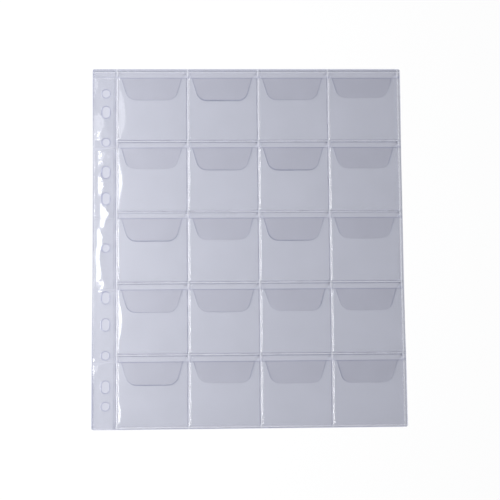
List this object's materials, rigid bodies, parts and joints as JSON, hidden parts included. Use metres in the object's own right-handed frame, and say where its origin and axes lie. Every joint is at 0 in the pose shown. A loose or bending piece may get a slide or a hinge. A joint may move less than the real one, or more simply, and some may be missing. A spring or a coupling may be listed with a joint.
{
  "type": "coin album page",
  "caption": "Clear soft film album page with rows of square coin pockets, each closed by a tuck-in flap, and a punched binding margin.",
  "frame": {"origin": "below the middle of the page's bounding box, on the surface that the page lies on", "axes": "+X from the punched edge to the free edge, +Y to the page's top edge, +Z out of the front films"},
  "size_m": [0.242, 0.2802, 0.0012],
  "materials": {
    "back_film": "clear soft film, glossy, faint violet-grey tint",
    "front_film": "clear soft film, glossy, faint violet-grey tint",
    "flap_film": "clear soft film, glossy, faint violet-grey tint"
  },
  "bodies": {
    "page": {"back_sheet": "back_film", "header_strip": "front_film", "front_strip_1": "front_film", "front_strip_2": "front_film", "front_strip_3": "front_film", "front_strip_4": "front_film", "front_strip_5": "front_film", "pocket_window_r1_c1": "front_film", "pocket_window_r1_c2": "front_film", "pocket_window_r1_c3": "front_film", "pocket_window_r1_c4": "front_film", "pocket_window_r2_c1": "front_film", "pocket_window_r2_c2": "front_film", "pocket_window_r2_c3": "front_film", "pocket_window_r2_c4": "front_film", "pocket_window_r3_c1": "front_film", "pocket_window_r3_c2": "front_film", "pocket_window_r3_c3": "front_film", "pocket_window_r3_c4": "front_film", "pocket_window_r4_c1": "front_film", "pocket_window_r4_c2": "front_film", "pocket_window_r4_c3": "front_film", "pocket_window_r4_c4": "front_film", "pocket_window_r5_c1": "front_film", "pocket_window_r5_c2": "front_film", "pocket_window_r5_c3": "front_film", "pocket_window_r5_c4": "front_film"},
    "flap_r1_c1": {"flap_r1_c1": "flap_film"},
    "flap_r1_c2": {"flap_r1_c2": "flap_film"},
    "flap_r1_c3": {"flap_r1_c3": "flap_film"},
    "flap_r1_c4": {"flap_r1_c4": "flap_film"},
    "flap_r2_c1": {"flap_r2_c1": "flap_film"},
    "flap_r2_c2": {"flap_r2_c2": "flap_film"},
    "flap_r2_c3": {"flap_r2_c3": "flap_film"},
    "flap_r2_c4": {"flap_r2_c4": "flap_film"},
    "flap_r3_c1": {"flap_r3_c1": "flap_film"},
    "flap_r3_c2": {"flap_r3_c2": "flap_film"},
    "flap_r3_c3": {"flap_r3_c3": "flap_film"},
    "flap_r3_c4": {"flap_r3_c4": "flap_film"},
    "flap_r4_c1": {"flap_r4_c1": "flap_film"},
    "flap_r4_c2": {"flap_r4_c2": "flap_film"},
    "flap_r4_c3": {"flap_r4_c3": "flap_film"},
    "flap_r4_c4": {"flap_r4_c4": "flap_film"},
    "flap_r5_c1": {"flap_r5_c1": "flap_film"},
    "flap_r5_c2": {"flap_r5_c2": "flap_film"},
    "flap_r5_c3": {"flap_r5_c3": "flap_film"},
    "flap_r5_c4": {"flap_r5_c4": "flap_film"}
  },
  "joints": [
    {"name": "flap_r1_c1_fold", "type": "hinge", "parent": "page", "child": "flap_r1_c1", "pos_m": [-0.074, 0.13735, 0.0003], "axis": [-1, 0, 0], "range_deg": [0, 165], "deforming": ["flap_r1_c1"]},
    {"name": "flap_r1_c2_fold", "type": "hinge", "parent": "page", "child": "flap_r1_c2", "pos_m": [-0.0188, 0.13735, 0.0003], "axis": [-1, 0, 0], "range_deg": [0, 165], "deforming": ["flap_r1_c2"]},
    {"name": "flap_r1_c3_fold", "type": "hinge", "parent": "page", "child": "flap_r1_c3", "pos_m": [0.0364, 0.13735, 0.0003], "axis": [-1, 0, 0], "range_deg": [0, 165], "deforming": ["flap_r1_c3"]},
    {"name": "flap_r1_c4_fold", "type": "hinge", "parent": "page", "child": "flap_r1_c4", "pos_m": [0.0916, 0.13735, 0.0003], "axis": [-1, 0, 0], "range_deg": [0, 165], "deforming": ["flap_r1_c4"]},
    {"name": "flap_r2_c1_fold", "type": "hinge", "parent": "page", "child": "flap_r2_c1", "pos_m": [-0.074, 0.08195, 0.0003], "axis": [-1, 0, 0], "range_deg": [0, 165], "deforming": ["flap_r2_c1"]},
    {"name": "flap_r2_c2_fold", "type": "hinge", "parent": "page", "child": "flap_r2_c2", "pos_m": [-0.0188, 0.08195, 0.0003], "axis": [-1, 0, 0], "range_deg": [0, 165], "deforming": ["flap_r2_c2"]},
    {"name": "flap_r2_c3_fold", "type": "hinge", "parent": "page", "child": "flap_r2_c3", "pos_m": [0.0364, 0.08195, 0.0003], "axis": [-1, 0, 0], "range_deg": [0, 165], "deforming": ["flap_r2_c3"]},
    {"name": "flap_r2_c4_fold", "type": "hinge", "parent": "page", "child": "flap_r2_c4", "pos_m": [0.0916, 0.08195, 0.0003], "axis": [-1, 0, 0], "range_deg": [0, 165], "deforming": ["flap_r2_c4"]},
    {"name": "flap_r3_c1_fold", "type": "hinge", "parent": "page", "child": "flap_r3_c1", "pos_m": [-0.074, 0.02655, 0.0003], "axis": [-1, 0, 0], "range_deg": [0, 165], "deforming": ["flap_r3_c1"]},
    {"name": "flap_r3_c2_fold", "type": "hinge", "parent": "page", "child": "flap_r3_c2", "pos_m": [-0.0188, 0.02655, 0.0003], "axis": [-1, 0, 0], "range_deg": [0, 165], "deforming": ["flap_r3_c2"]},
    {"name": "flap_r3_c3_fold", "type": "hinge", "parent": "page", "child": "flap_r3_c3", "pos_m": [0.0364, 0.02655, 0.0003], "axis": [-1, 0, 0], "range_deg": [0, 165], "deforming": ["flap_r3_c3"]},
    {"name": "flap_r3_c4_fold", "type": "hinge", "parent": "page", "child": "flap_r3_c4", "pos_m": [0.0916, 0.02655, 0.0003], "axis": [-1, 0, 0], "range_deg": [0, 165], "deforming": ["flap_r3_c4"]},
    {"name": "flap_r4_c1_fold", "type": "hinge", "parent": "page", "child": "flap_r4_c1", "pos_m": [-0.074, -0.02885, 0.0003], "axis": [-1, 0, 0], "range_deg": [0, 165], "deforming": ["flap_r4_c1"]},
    {"name": "flap_r4_c2_fold", "type": "hinge", "parent": "page", "child": "flap_r4_c2", "pos_m": [-0.0188, -0.02885, 0.0003], "axis": [-1, 0, 0], "range_deg": [0, 165], "deforming": ["flap_r4_c2"]},
    {"name": "flap_r4_c3_fold", "type": "hinge", "parent": "page", "child": "flap_r4_c3", "pos_m": [0.0364, -0.02885, 0.0003], "axis": [-1, 0, 0], "range_deg": [0, 165], "deforming": ["flap_r4_c3"]},
    {"name": "flap_r4_c4_fold", "type": "hinge", "parent": "page", "child": "flap_r4_c4", "pos_m": [0.0916, -0.02885, 0.0003], "axis": [-1, 0, 0], "range_deg": [0, 165], "deforming": ["flap_r4_c4"]},
    {"name": "flap_r5_c1_fold", "type": "hinge", "parent": "page", "child": "flap_r5_c1", "pos_m": [-0.074, -0.08425, 0.0003], "axis": [-1, 0, 0], "range_deg": [0, 165], "deforming": ["flap_r5_c1"]},
    {"name": "flap_r5_c2_fold", "type": "hinge", "parent": "page", "child": "flap_r5_c2", "pos_m": [-0.0188, -0.08425, 0.0003], "axis": [-1, 0, 0], "range_deg": [0, 165], "deforming": ["flap_r5_c2"]},
    {"name": "flap_r5_c3_fold", "type": "hinge", "parent": "page", "child": "flap_r5_c3", "pos_m": [0.0364, -0.08425, 0.0003], "axis": [-1, 0, 0], "range_deg": [0, 165], "deforming": ["flap_r5_c3"]},
    {"name": "flap_r5_c4_fold", "type": "hinge", "parent": "page", "child": "flap_r5_c4", "pos_m": [0.0916, -0.08425, 0.0003], "axis": [-1, 0, 0], "range_deg": [0, 165], "deforming": ["flap_r5_c4"]}
  ]
}
